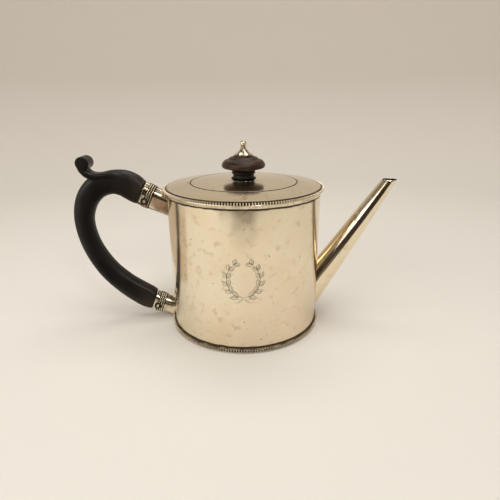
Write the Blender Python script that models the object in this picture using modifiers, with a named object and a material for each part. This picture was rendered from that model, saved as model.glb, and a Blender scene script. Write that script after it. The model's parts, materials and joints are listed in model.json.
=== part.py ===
"""Silver drum teapot with a straight spout, a wooden scroll handle and a flush hinged lid.

Axes: +Z is up, +X points to the spout and the handle is at -X. The origin is the centre of the base
plate's underside. Lengths below are millimetres, and MM turns them into Blender's metres.
"""

import math

import bmesh
import bpy
from mathutils import Matrix, Vector

MM = 0.001
GAP = 0.3
SEGMENTS = 48
FINE_SEGMENTS = 28

# Drum
BODY_RADIUS = 54.0
SHEET = 0.8
BASE_THICKNESS = 0.9
WALL_TOP = 101.8
BEAD_RADIUS = 1.0
TOP_BEAD_CENTRE = (55.5, 101.9)
BASE_BEAD_CENTRE = (55.25, 1.1)

# Domed top and lid share one shallow sphere-like crown
CROWN_HEIGHT = 107.4
CROWN_RADIUS = 330.0
TOP_PLATE_RADIUS = 54.15
LID_RADIUS = 37.3
LID_OPENING_RADIUS = 37.7
SEAT_INNER_RADIUS = 35.5
SEAT_TOP = 103.85
BEZEL_RADIUS = 35.0
BEZEL_BOTTOM = 101.4

# Lid hinge, on the handle side just outside the lid's edge
HINGE_X = -38.6
HINGE_Z = 103.8
KNUCKLE_RADIUS = 1.3
KNUCKLE_BORE = 0.75
HINGE_PIN_RADIUS = 0.45
HINGE_HALF_LENGTH = 8.0
LID_KNUCKLE_HALF_LENGTH = 3.1

# Finial
STUD_RADIUS = 1.25
STUD_HOLE_RADIUS = 1.6
STUD_BOTTOM = 102.3
STUD_TOP = 124.6

# Spout: a straight cone whose mouth is cut level
SPOUT_ANGLE = math.radians(57.5)
SPOUT_MOUTH = Vector((104.0, 0.0, 105.5))
SPOUT_LENGTH = 87.5
SPOUT_MOUTH_RADIUS = 4.4
SPOUT_BASE_RADIUS = 9.8
STRAINER_HOLE_RADIUS = 1.1
STRAINER_PITCH = 4.4
STRAINER_ROWS = 7
STRAINER_CENTRE_Z = 26.4

# Handle sockets: end at the wood, centre at the drum, half height, half width
UPPER_SOCKET = {"wood": (-71.7, 98.1), "drum": (-53.0, 89.0), "half_height": 8.3, "taper": 0.86,
                "pin": (-69.9, 92.8)}
LOWER_SOCKET = {"wood": (-69.7, 14.3), "drum": (-53.0, 8.0), "half_height": 7.2, "taper": 0.80,
                "pin": (-67.2, 11.0)}
SOCKET_HALF_WIDTH = 6.0
SOCKET_WALL = 0.9
SOCKET_SINK = 3.0
REED_RADIUS = 0.5
REED_PITCH = 1.2
REED_COUNT = 3
REED_START = 4.2
TENON_LENGTH = 11.0
PIN_RADIUS = 0.9
PIN_HOLE_RADIUS = 1.2
BOSS_RADIUS = 3.0
BOSS_THICKNESS = 1.1

# Wooden grip centreline from socket to socket: x, z, half thickness in the handle's plane
GRIP_ROUTE = (
    (-71.95, 98.1, 8.5),
    (-75.2, 99.4, 9.3),
    (-79.8, 102.6, 9.7),
    (-85.4, 105.0, 9.2),
    (-93.9, 105.3, 8.2),
    (-104.2, 101.5, 8.2),
    (-112.2, 91.5, 7.6),
    (-115.5, 76.9, 6.8),
    (-112.3, 58.7, 6.9),
    (-103.2, 40.9, 7.6),
    (-90.9, 27.6, 8.3),
    (-78.4, 18.4, 9.0),
    (-73.2, 15.5, 8.7),
    (-70.05, 14.4, 7.7),
)
GRIP_HALF_WIDTH = 6.0
SCROLL_ROLL_CENTRE = (-109.9, 119.1)
SCROLL_ROLL_RADIUS = 4.2
SCROLL_HALF_WIDTH = 5.9

SILVER = {"colour": (0.86, 0.81, 0.72), "metallic": 1.0, "roughness": 0.16}
DARK_SILVER = {"colour": (0.55, 0.50, 0.43), "metallic": 1.0, "roughness": 0.3}
EBONISED_WOOD = {"colour": (0.018, 0.015, 0.013), "metallic": 0.0, "roughness": 0.38}
STAINED_WOOD = {"colour": (0.060, 0.026, 0.016), "metallic": 0.0, "roughness": 0.42}


def clear_scene():
    for obj in list(bpy.data.objects):
        bpy.data.objects.remove(obj, do_unlink=True)


def new_collection(name):
    collection = bpy.data.collections.new(name)
    bpy.context.scene.collection.children.link(collection)
    return collection


def add_object(name, data, finish=None):
    """Object in the teapot's collection with its own material, or a hidden cutter when it has none."""
    obj = bpy.data.objects.new(name, data)
    if finish is None:
        CUTTERS.objects.link(obj)
        obj.hide_render = True
        obj.display_type = "WIRE"
        return obj
    TEAPOT.objects.link(obj)
    material = bpy.data.materials.new(name)
    material.use_nodes = True
    shader = material.node_tree.nodes["Principled BSDF"]
    shader.inputs["Base Color"].default_value = (*finish["colour"], 1.0)
    shader.inputs["Metallic"].default_value = finish["metallic"]
    shader.inputs["Roughness"].default_value = finish["roughness"]
    data.materials.append(material)
    return obj


def turned(name, profile, finish=None, segments=SEGMENTS, on_axis=False):
    """Solid spun about Z from (radius, height) points that run down its outer side.

    The profile closes on itself unless both its ends lie on the axis.
    """
    edges = [(i, i + 1) for i in range(len(profile) - 1)]
    if not on_axis:
        edges.append((len(profile) - 1, 0))
    mesh = bpy.data.meshes.new(name)
    mesh.from_pydata([(r * MM, 0.0, z * MM) for r, z in profile], edges, [])
    obj = add_object(name, mesh, finish)
    spin = obj.modifiers.new("spin", "SCREW")
    spin.steps = segments
    spin.render_steps = segments
    spin.use_merge_vertices = True
    spin.merge_threshold = 0.00001
    return obj


def ring_profile(inner, outer, bottom, top):
    return [(outer, top), (outer, bottom), (inner, bottom), (inner, top)]


def disc_profile(radius, bottom, top):
    return [(0.0, top), (radius, top), (radius, bottom), (0.0, bottom)]


def round_profile(centre, radius, points=8):
    """Circle of points for a wire ring, running down its outer side."""
    angles = [-math.tau * (i + 0.5) / points for i in range(points)]
    return [(centre[0] + radius * math.cos(a), centre[1] + radius * math.sin(a)) for a in angles]


def cylinder(name, radius, half_length, centre, direction, finish=None, segments=FINE_SEGMENTS):
    """Cylinder primitive centred on a point, with its axis along a direction."""
    mesh = bpy.data.meshes.new(name)
    solid = bmesh.new()
    bmesh.ops.create_cone(solid, cap_ends=True, segments=segments, radius1=radius * MM,
                          radius2=radius * MM, depth=2 * half_length * MM)
    solid.to_mesh(mesh)
    solid.free()
    obj = add_object(name, mesh, finish)
    obj.rotation_mode = "QUATERNION"
    obj.rotation_quaternion = Vector(direction).to_track_quat("Z", "Y")
    obj.location = Vector(centre) * MM
    return obj


def box(name, low, high, finish=None):
    """Box primitive between two corners."""
    low = Vector(low)
    high = Vector(high)
    mesh = bpy.data.meshes.new(name)
    solid = bmesh.new()
    size = (high - low) * MM
    bmesh.ops.create_cube(solid, size=1.0, matrix=Matrix.Diagonal((*size, 1.0)))
    solid.to_mesh(mesh)
    solid.free()
    obj = add_object(name, mesh, finish)
    obj.location = (low + high) * 0.5 * MM
    return obj


def boolean(obj, other, operation):
    modifier = obj.modifiers.new(operation.lower(), "BOOLEAN")
    modifier.operation = operation
    modifier.solver = "EXACT"
    modifier.object = other


def cut(obj, *cutters):
    for cutter in cutters:
        boolean(obj, cutter, "DIFFERENCE")


def join(obj, *others):
    for other in others:
        boolean(obj, other, "UNION")


def crown(radius):
    """Height of the domed top's upper surface at a distance from the drum's axis."""
    return CROWN_HEIGHT - radius * radius / (2.0 * CROWN_RADIUS)


def crown_profile(inner, outer, steps):
    """Closed section of the domed sheet between two radii."""
    radii = [inner + (outer - inner) * i / steps for i in range(steps + 1)]
    upper = [(r, crown(r)) for r in radii]
    lower = [(r, crown(r) - SHEET) for r in reversed(radii)]
    return upper + lower


def curve_to_mesh(curve_object, finish=None, taper=None):
    """Mesh object with the curve's evaluated shape, its loose caps welded, in place of the curve."""
    bpy.context.view_layer.update()
    depsgraph = bpy.context.evaluated_depsgraph_get()
    mesh = bpy.data.meshes.new_from_object(curve_object.evaluated_get(depsgraph))
    welded = bmesh.new()
    welded.from_mesh(mesh)
    bmesh.ops.remove_doubles(welded, verts=welded.verts, dist=0.00001)
    bmesh.ops.recalc_face_normals(welded, faces=welded.faces)
    if taper is not None:
        for vertex in welded.verts:
            if vertex.co.z < 0.0:
                vertex.co.x *= taper
                vertex.co.y *= taper
    welded.to_mesh(mesh)
    welded.free()
    mesh.materials.clear()
    name = curve_object.name
    matrix = curve_object.matrix_world.copy()
    curve_object.name = name + "_curve"
    obj = add_object(name, mesh, finish)
    obj.matrix_world = matrix
    bpy.data.objects.remove(curve_object, do_unlink=True)
    return obj


def closed_spline(curve, points, height=0.0):
    spline = curve.splines.new("POLY")
    spline.points.add(len(points) - 1)
    for target, (x, y) in zip(spline.points, points):
        target.co = (x * MM, y * MM, height * MM, 1.0)
    spline.use_cyclic_u = True


def arch_outline(half_height, half_width, arch_points=9, corner=1.6):
    """Socket section: a half-round top, straight sides and a flat bottom with rounded corners."""
    points = []
    for i in range(arch_points):
        angle = math.pi * i / (arch_points - 1)
        points.append((half_width * math.cos(angle), half_height * math.sin(angle)))
    for side, turn in ((-1.0, 1.0), (1.0, 1.5)):
        for step in range(3):
            angle = math.pi * (turn + 0.25 * step)
            points.append((side * (half_width - corner) + corner * math.cos(angle),
                           corner - half_height + corner * math.sin(angle)))
    return points


def section_frame(start, end):
    """Matrix with Z from start to end in the XZ plane, X along world -Y and Y upward across it."""
    along = Vector((end[0] - start[0], 0.0, end[1] - start[1])).normalized()
    across = Vector((0.0, -1.0, 0.0))
    upward = along.cross(across)
    matrix = Matrix((across, upward, along)).transposed().to_4x4()
    matrix.translation = Vector((start[0], 0.0, start[1])) * MM
    return matrix


def arch_prism(name, matrix, near, far, half_height, half_width, finish=None, taper=None):
    """Arch section extruded along the frame's Z from near to far, narrowed at the near end."""
    curve = bpy.data.curves.new(name, "CURVE")
    curve.dimensions = "2D"
    curve.fill_mode = "BOTH"
    curve.extrude = 0.5 * (far - near) * MM
    closed_spline(curve, arch_outline(half_height, half_width))
    obj = bpy.data.objects.new(name, curve)
    CUTTERS.objects.link(obj)
    obj.matrix_world = matrix @ Matrix.Translation((0.0, 0.0, 0.5 * (near + far) * MM))
    return curve_to_mesh(obj, finish, taper)


def drum_cutter(radius):
    return turned("drum_cutter", disc_profile(radius, -10.0, 130.0), on_axis=True)


def make_base():
    wall_bottom = BASE_THICKNESS + GAP
    wall = turned("body_wall", ring_profile(BODY_RADIUS - SHEET, BODY_RADIUS, wall_bottom, WALL_TOP),
                  SILVER)
    plate_radius = BASE_BEAD_CENTRE[0] - BEAD_RADIUS - 0.5
    turned("base_plate", disc_profile(plate_radius, 0.0, BASE_THICKNESS), SILVER, on_axis=True)
    turned("base_bead_wire", round_profile(BASE_BEAD_CENTRE, BEAD_RADIUS), SILVER)
    inner = BODY_RADIUS + GAP
    moulding = [(inner, 5.5), (inner + 0.5, 5.4), (inner + 0.9, 4.2), (inner + 1.4, 2.6), (inner, 2.6)]
    ring = turned("base_moulding", moulding, SILVER)
    socket_side = SOCKET_HALF_WIDTH + 2 * GAP
    cut(ring, box("socket_notch", (-70.0, -socket_side, 2.0), (-40.0, socket_side, 7.0)))
    make_strainer(wall)


def make_strainer(wall):
    """Pierces the wall behind the spout with staggered rows of round holes."""
    row_height = STRAINER_PITCH * math.sqrt(0.75)
    middle_row = (STRAINER_ROWS - 1) / 2
    for row in range(STRAINER_ROWS):
        z = STRAINER_CENTRE_Z + (row - middle_row) * row_height
        holes = 3 if row % 2 else 2
        for hole in range(holes):
            y = (hole - (holes - 1) / 2) * STRAINER_PITCH
            drill = cylinder("strainer_drill", STRAINER_HOLE_RADIUS, 6.0, (BODY_RADIUS, y, z),
                             (1.0, 0.0, 0.0), segments=10)
            cut(wall, drill)


def make_top():
    top_plate = turned("top_plate", crown_profile(LID_OPENING_RADIUS, TOP_PLATE_RADIUS, 3), SILVER)
    inner = BODY_RADIUS + GAP
    moulding = [(inner, 100.5), (inner + 1.3, 100.5), (inner + 0.8, 99.7), (inner + 0.5, 98.7),
                (inner, 98.6)]
    turned("top_moulding", moulding, SILVER)
    turned("top_bead_wire", round_profile(TOP_BEAD_CENTRE, BEAD_RADIUS), SILVER)
    seat = turned("lid_seat_ring",
                  ring_profile(SEAT_INNER_RADIUS, 39.8, SEAT_TOP - SHEET, SEAT_TOP), SILVER)
    half = HINGE_HALF_LENGTH + GAP
    notch_reach = KNUCKLE_RADIUS + GAP
    notch = box("hinge_notch", (HINGE_X - notch_reach, -half, 100.0), (HINGE_X + 4.6, half, 110.0))
    cut(top_plate, notch)
    cut(seat, notch)


def make_spout():
    """Hollow cone along its own Z, leaned over, then trimmed by the drum and the level mouth."""
    flare = (SPOUT_BASE_RADIUS - SPOUT_MOUTH_RADIUS) / SPOUT_LENGTH
    top = 8.0
    bottom = -(SPOUT_LENGTH + 20.0)
    outer_top = SPOUT_MOUTH_RADIUS - flare * top
    outer_bottom = SPOUT_MOUTH_RADIUS - flare * bottom
    profile = [(outer_top, top), (outer_bottom, bottom), (outer_bottom - SHEET, bottom),
               (outer_top - SHEET, top)]
    spout = turned("spout", profile, SILVER, FINE_SEGMENTS)
    spout.location = SPOUT_MOUTH * MM
    spout.rotation_euler = (0.0, math.pi / 2 - SPOUT_ANGLE, 0.0)
    level = SPOUT_MOUTH.z
    mouth_cutter = box("mouth_cutter", (80.0, -20.0, level), (130.0, 20.0, level + 30.0))
    cut(spout, drum_cutter(BODY_RADIUS + GAP), mouth_cutter)


def make_socket(prefix, size):
    """Reeded ferrule that holds one end of the grip, with its pin and a pin boss on each side."""
    frame = section_frame(size["drum"], size["wood"])
    length = math.dist(size["drum"], size["wood"])
    height = size["half_height"]
    taper = size["taper"]
    pin_centre = (size["pin"][0], 0.0, size["pin"][1])
    across = (0.0, 1.0, 0.0)
    pin_hole = cylinder(prefix + "_pin_hole", PIN_HOLE_RADIUS, 20.0, pin_centre, across)
    socket = arch_prism(prefix + "_socket", frame, -SOCKET_SINK, length, height, SOCKET_HALF_WIDTH,
                        SILVER, taper)
    pocket = arch_prism(prefix + "_pocket", frame, -2 * SOCKET_SINK, length + SOCKET_SINK,
                        height - SOCKET_WALL, SOCKET_HALF_WIDTH - SOCKET_WALL, taper=taper)
    join(socket, make_reeds(prefix, size, frame, length, pin_centre))
    cut(socket, pocket, drum_cutter(BODY_RADIUS + GAP), pin_hole)
    boss_start = SOCKET_HALF_WIDTH + GAP
    boss_middle = boss_start + 0.5 * BOSS_THICKNESS
    cylinder(prefix + "_socket_pin", PIN_RADIUS, boss_start + BOSS_THICKNESS - GAP, pin_centre,
             across, SILVER, segments=16)
    for side, sign in (("front", -1.0), ("back", 1.0)):
        centre = (pin_centre[0], sign * boss_middle, pin_centre[2])
        boss = cylinder(prefix + "_pin_boss_" + side, BOSS_RADIUS, 0.5 * BOSS_THICKNESS, centre,
                        across, SILVER)
        cut(boss, pin_hole)
    return frame, length, pin_hole


def make_reeds(prefix, size, frame, length, pin_centre):
    """Three wires half sunk in the socket, broken where the pin bosses stand."""
    curve = bpy.data.curves.new(prefix + "_reeds", "CURVE")
    curve.dimensions = "3D"
    curve.bevel_depth = REED_RADIUS * MM
    curve.bevel_resolution = 1
    for reed in range(REED_COUNT):
        from_wood = REED_START + reed * REED_PITCH
        scale = 1.0 - (1.0 - size["taper"]) * from_wood / (length + SOCKET_SINK)
        outline = arch_outline(scale * size["half_height"], scale * SOCKET_HALF_WIDTH)
        closed_spline(curve, outline, length - from_wood)
    obj = bpy.data.objects.new(prefix + "_reeds", curve)
    CUTTERS.objects.link(obj)
    obj.matrix_world = frame
    reeds = curve_to_mesh(obj)
    clearance = cylinder(prefix + "_boss_clearance", BOSS_RADIUS + GAP, 20.0, pin_centre,
                         (0.0, 1.0, 0.0))
    cut(reeds, clearance)
    return reeds


def make_grip_tube():
    """Round-bevelled curve along the grip's route, flattened in Y to the grip's width."""
    curve = bpy.data.curves.new("handle_grip", "CURVE")
    curve.dimensions = "3D"
    curve.resolution_u = 4
    curve.bevel_depth = MM
    curve.bevel_resolution = 4
    curve.use_fill_caps = True
    spline = curve.splines.new("BEZIER")
    spline.bezier_points.add(len(GRIP_ROUTE) - 1)
    for point, (x, z, half) in zip(spline.bezier_points, GRIP_ROUTE):
        point.co = (x * MM, 0.0, z * MM)
        point.radius = half
        point.handle_left_type = "AUTO"
        point.handle_right_type = "AUTO"
    obj = bpy.data.objects.new("handle_grip", curve)
    CUTTERS.objects.link(obj)
    grip = curve_to_mesh(obj, EBONISED_WOOD)
    mean_half = sum(half for _, _, half in GRIP_ROUTE) / len(GRIP_ROUTE)
    for vertex in grip.data.vertices:
        vertex.co.y *= GRIP_HALF_WIDTH / mean_half
    return grip


def make_scroll():
    """Thumb scroll: a strip that leaves the top of the grip and ends in a round roll."""
    roll_x, roll_z = SCROLL_ROLL_CENTRE
    outline = [(-86.0, 104.0), (-86.5, 112.3), (-90.0, 113.1), (-94.7, 112.9), (-99.0, 112.4),
               (-103.0, 112.1), (-106.2, 112.9)]
    for step in range(11):
        angle = math.radians(-62.0 + 24.0 * step)
        outline.append((roll_x + SCROLL_ROLL_RADIUS * math.cos(angle),
                        roll_z + SCROLL_ROLL_RADIUS * math.sin(angle)))
    outline += [(-113.7, 115.1), (-112.3, 113.0), (-110.6, 111.0), (-108.1, 109.0), (-103.0, 106.5),
                (-94.0, 104.0)]
    curve = bpy.data.curves.new("scroll", "CURVE")
    curve.dimensions = "2D"
    curve.fill_mode = "BOTH"
    curve.extrude = SCROLL_HALF_WIDTH * MM
    closed_spline(curve, outline)
    obj = bpy.data.objects.new("scroll", curve)
    CUTTERS.objects.link(obj)
    obj.rotation_euler = (math.pi / 2, 0.0, 0.0)
    return curve_to_mesh(obj)


def make_handle():
    grip = make_grip_tube()
    join(grip, make_scroll())
    for prefix, size in (("upper", UPPER_SOCKET), ("lower", LOWER_SOCKET)):
        frame, length, pin_hole = make_socket(prefix, size)
        inset = SOCKET_WALL + GAP
        face = box(prefix + "_shoulder", (-20.0, -20.0, length - 20.0), (20.0, 20.0, length + GAP))
        face.matrix_world = frame @ face.matrix_basis
        tenon = arch_prism(prefix + "_tenon", frame, length - TENON_LENGTH, length + 3.0,
                           size["half_height"] - inset - GAP, SOCKET_HALF_WIDTH - inset,
                           taper=size["taper"])
        cut(grip, face)
        join(grip, tenon)
        cut(grip, pin_hole)


def make_hinge():
    """Barrel hinge along Y: two knuckles under the top plate, one under the lid, and its pin."""
    across = (0.0, 1.0, 0.0)
    centre = (HINGE_X, 0.0, HINGE_Z)
    cylinder("hinge_pin", HINGE_PIN_RADIUS, HINGE_HALF_LENGTH, centre, across, SILVER, segments=12)
    bore = cylinder("hinge_bore", KNUCKLE_BORE, 20.0, centre, across, segments=16)
    fixed = cylinder("hinge_fixed_knuckles", KNUCKLE_RADIUS, HINGE_HALF_LENGTH, centre, across,
                     SILVER, segments=20)
    leaf = box("fixed_leaf", (-47.0, -HINGE_HALF_LENGTH, HINGE_Z - 1.25),
               (HINGE_X, HINGE_HALF_LENGTH, HINGE_Z - 0.65))
    gap_half = LID_KNUCKLE_HALF_LENGTH + GAP
    middle = box("middle_gap", (-41.0, -gap_half, 95.0), (-30.0, gap_half, 110.0))
    join(fixed, leaf)
    cut(fixed, middle, bore)
    moving = cylinder("lid_hinge_leaf", KNUCKLE_RADIUS, LID_KNUCKLE_HALF_LENGTH, centre, across,
                      SILVER, segments=20)
    tongue = box("lid_tongue", (HINGE_X, -LID_KNUCKLE_HALF_LENGTH, HINGE_Z - 0.25),
                 (-30.0, LID_KNUCKLE_HALF_LENGTH, HINGE_Z + 0.35))
    join(moving, tongue)
    cut(moving, bore)


def make_lid():
    lid = turned("lid_plate", crown_profile(STUD_HOLE_RADIUS, LID_RADIUS, 5), SILVER)
    clear_x = HINGE_X + KNUCKLE_RADIUS + GAP
    clearance = box("lid_hinge_clearance", (-45.0, -9.0, 100.0), (clear_x, 9.0, 110.0))
    cut(lid, clearance)
    bezel_top = crown(BEZEL_RADIUS) - SHEET - GAP
    bezel = turned("lid_bezel", ring_profile(BEZEL_RADIUS - SHEET, BEZEL_RADIUS, BEZEL_BOTTOM,
                                             bezel_top), SILVER)
    half = LID_KNUCKLE_HALF_LENGTH + GAP
    slot = box("bezel_slot", (-38.0, -half, 100.0), (-32.0, half, 110.0))
    cut(bezel, slot)


def make_finial():
    """Knob on the lid: plate, black neck, brown disc and silver cap on one stud."""
    hole = STUD_HOLE_RADIUS
    turned("finial_base_plate", ring_profile(hole, 12.8, 107.7, 108.1), DARK_SILVER)
    neck = [(hole, 112.5), (7.7, 112.5), (7.9, 111.9), (8.0, 111.1), (7.5, 110.2), (7.2, 109.3),
            (7.2, 108.4), (hole, 108.4)]
    turned("finial_neck", neck, EBONISED_WOOD, FINE_SEGMENTS)
    knop = [(hole, 122.5), (7.0, 122.5), (9.8, 121.5), (11.1, 120.6), (12.6, 120.0), (13.7, 119.3),
            (14.6, 118.1), (15.1, 116.5), (14.5, 115.1), (12.9, 114.3), (10.0, 113.6), (8.4, 112.8),
            (hole, 112.8)]
    turned("finial_knop", knop, STAINED_WOOD, FINE_SEGMENTS)
    cap = [(0.0, 133.1), (1.3, 132.8), (2.25, 131.5), (1.9, 130.2), (1.6, 129.4), (1.8, 128.4),
           (2.4, 127.3), (3.1, 126.3), (4.4, 125.0), (5.9, 124.0), (6.7, 123.3), (6.7, 122.8), (hole, 122.8),
           (hole, STUD_TOP + GAP), (0.0, STUD_TOP + GAP)]
    turned("finial_cap", cap, SILVER, FINE_SEGMENTS, on_axis=True)
    half_stud = 0.5 * (STUD_TOP - STUD_BOTTOM)
    up = (0.0, 0.0, 1.0)
    cylinder("finial_stud", STUD_RADIUS, half_stud, (0.0, 0.0, STUD_BOTTOM + half_stud), up, SILVER,
             segments=16)
    underside = CROWN_HEIGHT - SHEET
    turned("finial_washer", ring_profile(hole, 4.5, underside - 1.0, underside - GAP), SILVER,
           FINE_SEGMENTS)
    turned("finial_nut", ring_profile(hole, 3.2, underside - 3.5, underside - 1.0 - GAP), SILVER,
           segments=6)


clear_scene()
TEAPOT = new_collection("silver_drum_teapot")
CUTTERS = new_collection("cutters")
make_base()
make_top()
make_spout()
make_handle()
make_hinge()
make_lid()
make_finial()
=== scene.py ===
"""Looks of the silver drum teapot: silver shells, beads, turned wood, handle, engraving and light.

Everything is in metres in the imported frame: +Z up, +X towards the spout, origin under the drum.
"""

import json
import math
import random

import bmesh
import bpy
import numpy as np
from mathutils import Matrix, Vector


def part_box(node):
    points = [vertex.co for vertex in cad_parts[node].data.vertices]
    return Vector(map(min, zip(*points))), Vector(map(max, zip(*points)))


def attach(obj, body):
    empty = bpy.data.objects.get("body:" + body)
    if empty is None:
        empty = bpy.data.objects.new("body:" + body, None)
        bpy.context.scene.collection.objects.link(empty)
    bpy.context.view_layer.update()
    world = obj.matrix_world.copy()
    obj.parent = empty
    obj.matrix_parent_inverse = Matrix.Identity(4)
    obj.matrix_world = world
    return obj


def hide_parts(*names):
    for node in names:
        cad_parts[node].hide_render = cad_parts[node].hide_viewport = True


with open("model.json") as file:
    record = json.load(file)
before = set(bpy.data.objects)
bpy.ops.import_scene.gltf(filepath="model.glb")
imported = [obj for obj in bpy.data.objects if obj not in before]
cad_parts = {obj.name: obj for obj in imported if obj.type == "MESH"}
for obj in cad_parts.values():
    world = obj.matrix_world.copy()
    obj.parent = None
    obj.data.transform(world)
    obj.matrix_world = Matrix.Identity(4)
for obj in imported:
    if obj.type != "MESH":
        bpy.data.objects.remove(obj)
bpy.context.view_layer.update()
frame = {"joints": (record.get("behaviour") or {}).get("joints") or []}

MM = 0.001

# Driving dimensions, read from the frame
BODY_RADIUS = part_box("body_wall")[1].x
WALL_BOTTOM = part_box("body_wall")[0].z
WALL_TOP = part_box("body_wall")[1].z
PLATE_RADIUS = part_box("top_plate")[1].x
LID_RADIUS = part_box("lid_plate")[1].x
CROWN_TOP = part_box("lid_plate")[1].z
SPOUT_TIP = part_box("spout")[1]
FINIAL_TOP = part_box("finial_cap")[1].z
HINGE = Vector(frame["joints"][0]["pos_m"])

# Sheet and crown
SHEET = 0.8 * MM
WALL_RIPPLE = 0.10 * MM
SHEET_RIPPLE = 0.05 * MM
CROWN_RADIUS = 330.0 * MM
LID_SEAM = 0.4 * MM
SEGMENTS = 256

# Spout
SPOUT_ANGLE = math.radians(57.5)
SPOUT_LENGTH = 87.5 * MM
SPOUT_MOUTH_RADIUS = 4.4 * MM
SPOUT_BASE_RADIUS = 9.8 * MM
SPOUT_BELLY = 0.35 * MM
STRAINER_HOLE = 1.1 * MM
STRAINER_PITCH = 4.4 * MM
STRAINER_HEIGHT = 26.4 * MM

# Sockets: (x, z) of the wood end and of the point inside the drum, as in the solids
UPPER_SOCKET = {"name": "upper", "wood": (-71.7, 98.1), "drum": (-53.0, 89.0), "height": 8.3,
                "taper": 0.86, "pin": (-69.9, 92.8)}
LOWER_SOCKET = {"name": "lower", "wood": (-69.7, 14.3), "drum": (-53.0, 8.0), "height": 7.2,
                "taper": 0.80, "pin": (-67.2, 11.0)}
SOCKET_WIDTH = 6.0 * MM
SOCKET_SINK = 3.0 * MM
REED_START = 4.0 * MM
REED_PITCH = 1.5 * MM
REED_RADIUS = 0.6 * MM
REED_COUNT = 3

# Grip centreline from socket to socket, in millimetres: x, z, half thickness
GRIP_ROUTE = (
    (-71.95, 98.1, 8.5),
    (-75.2, 99.4, 9.3),
    (-79.8, 102.6, 9.7),
    (-85.4, 105.0, 9.2),
    (-93.9, 105.3, 8.2),
    (-104.2, 101.5, 8.2),
    (-112.2, 91.5, 7.6),
    (-115.5, 76.9, 6.8),
    (-112.3, 58.7, 6.9),
    (-103.2, 40.9, 7.6),
    (-90.9, 27.6, 8.3),
    (-78.4, 18.4, 9.0),
    (-73.2, 15.5, 8.7),
    (-70.05, 14.4, 7.7),
)
GRIP_WIDTH = 6.0 * MM
# Thumb scroll on top of the grip: centreline of the strip, then the roll at its end
SCROLL_ROUTE = (
    (-78.5, 103.5, 4.4),
    (-83.0, 107.2, 4.6),
    (-88.5, 109.6, 3.8),
    (-94.7, 110.3, 2.8),
    (-99.0, 109.9, 2.55),
    (-102.5, 109.75, 2.5),
    (-105.3, 110.15, 2.5),
    (-107.9, 111.35, 2.5),
    (-110.0, 113.3, 2.45),
    (-111.5, 115.8, 2.4),
    (-112.0, 118.2, 2.2),
)
SCROLL_WIDTH = 5.85 * MM
ROLL_CENTRE = (-109.9, 119.1)
ROLL_RADIUS = 4.6


# ---------------------------------------------------------------- mesh tools

def new_object(name, mesh, material):
    obj = bpy.data.objects.new(name, mesh)
    bpy.context.scene.collection.objects.link(obj)
    if material is not None:
        mesh.materials.append(material)
    mesh.shade_smooth()
    return obj


def finish_mesh(mesh, weld=2e-6):
    """Welds coincident points and turns every face outward."""
    solid = bmesh.new()
    solid.from_mesh(mesh)
    bmesh.ops.remove_doubles(solid, verts=solid.verts, dist=weld)
    bmesh.ops.recalc_face_normals(solid, faces=solid.faces)
    solid.to_mesh(mesh)
    solid.free()


def turns(count):
    """Equal angles round a full turn, without repeating the first."""
    return np.linspace(0, math.tau, count, endpoint=False)


def ring_mesh(name, rings, close_rows=True, caps=False):
    """Quad mesh through rows of closed rings, an array of rows x columns x 3."""
    rows, columns, _ = rings.shape
    faces = []
    for row in range(rows if close_rows else rows - 1):
        here = row * columns
        there = ((row + 1) % rows) * columns
        for column in range(columns):
            after = (column + 1) % columns
            faces.append((here + column, there + column, there + after, here + after))
    if caps:
        faces.append(tuple(range(columns)))
        faces.append(tuple(reversed(range((rows - 1) * columns, rows * columns))))
    mesh = bpy.data.meshes.new(name)
    mesh.from_pydata(rings.reshape(-1, 3).tolist(), [], faces)
    finish_mesh(mesh)
    return mesh


def lathe(name, profile, material, segments=SEGMENTS, on_axis=False):
    """Turned piece from (radius, height) points; the profile closes unless it ends on the axis."""
    angles = turns(segments)
    profile = np.array(profile, float)
    rings = np.empty((len(profile), segments, 3))
    rings[:, :, 0] = profile[:, 0:1] * np.cos(angles)
    rings[:, :, 1] = profile[:, 0:1] * np.sin(angles)
    rings[:, :, 2] = profile[:, 1:2]
    return new_object(name, ring_mesh(name, rings, close_rows=not on_axis), material)


def filleted(points, radius, steps=4, closed=True):
    """Polygon whose corners are rounded; an open one keeps its two end points."""
    points = [np.array(p, float) for p in points]
    count = len(points)
    rounded = []
    for i, corner in enumerate(points):
        if not closed and i in (0, count - 1):
            rounded.append(corner)
            continue
        before = points[i - 1] - corner
        after = points[(i + 1) % count] - corner
        reach = min(radius, 0.45 * np.linalg.norm(before), 0.45 * np.linalg.norm(after))
        start = corner + before / np.linalg.norm(before) * reach
        end = corner + after / np.linalg.norm(after) * reach
        for step in range(steps + 1):
            t = step / steps
            rounded.append((1 - t) ** 2 * start + 2 * t * (1 - t) * corner + t * t * end)
    return np.array(rounded)


def smooth_path(points, steps=6):
    """Open Catmull-Rom curve through points of any dimension."""
    points = np.array(points, float)
    first = 2 * points[0] - points[1]
    last = 2 * points[-1] - points[-2]
    padded = np.vstack([first[None], points, last[None]])
    path = []
    for span in range(len(points) - 1):
        a, b, c, d = padded[span:span + 4]
        for step in range(steps):
            t = step / steps
            path.append(0.5 * (2 * b + (c - a) * t + (2 * a - 5 * b + 4 * c - d) * t * t
                               + (3 * b - a - 3 * c + d) * t ** 3))
    path.append(points[-1])
    return np.array(path)


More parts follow.
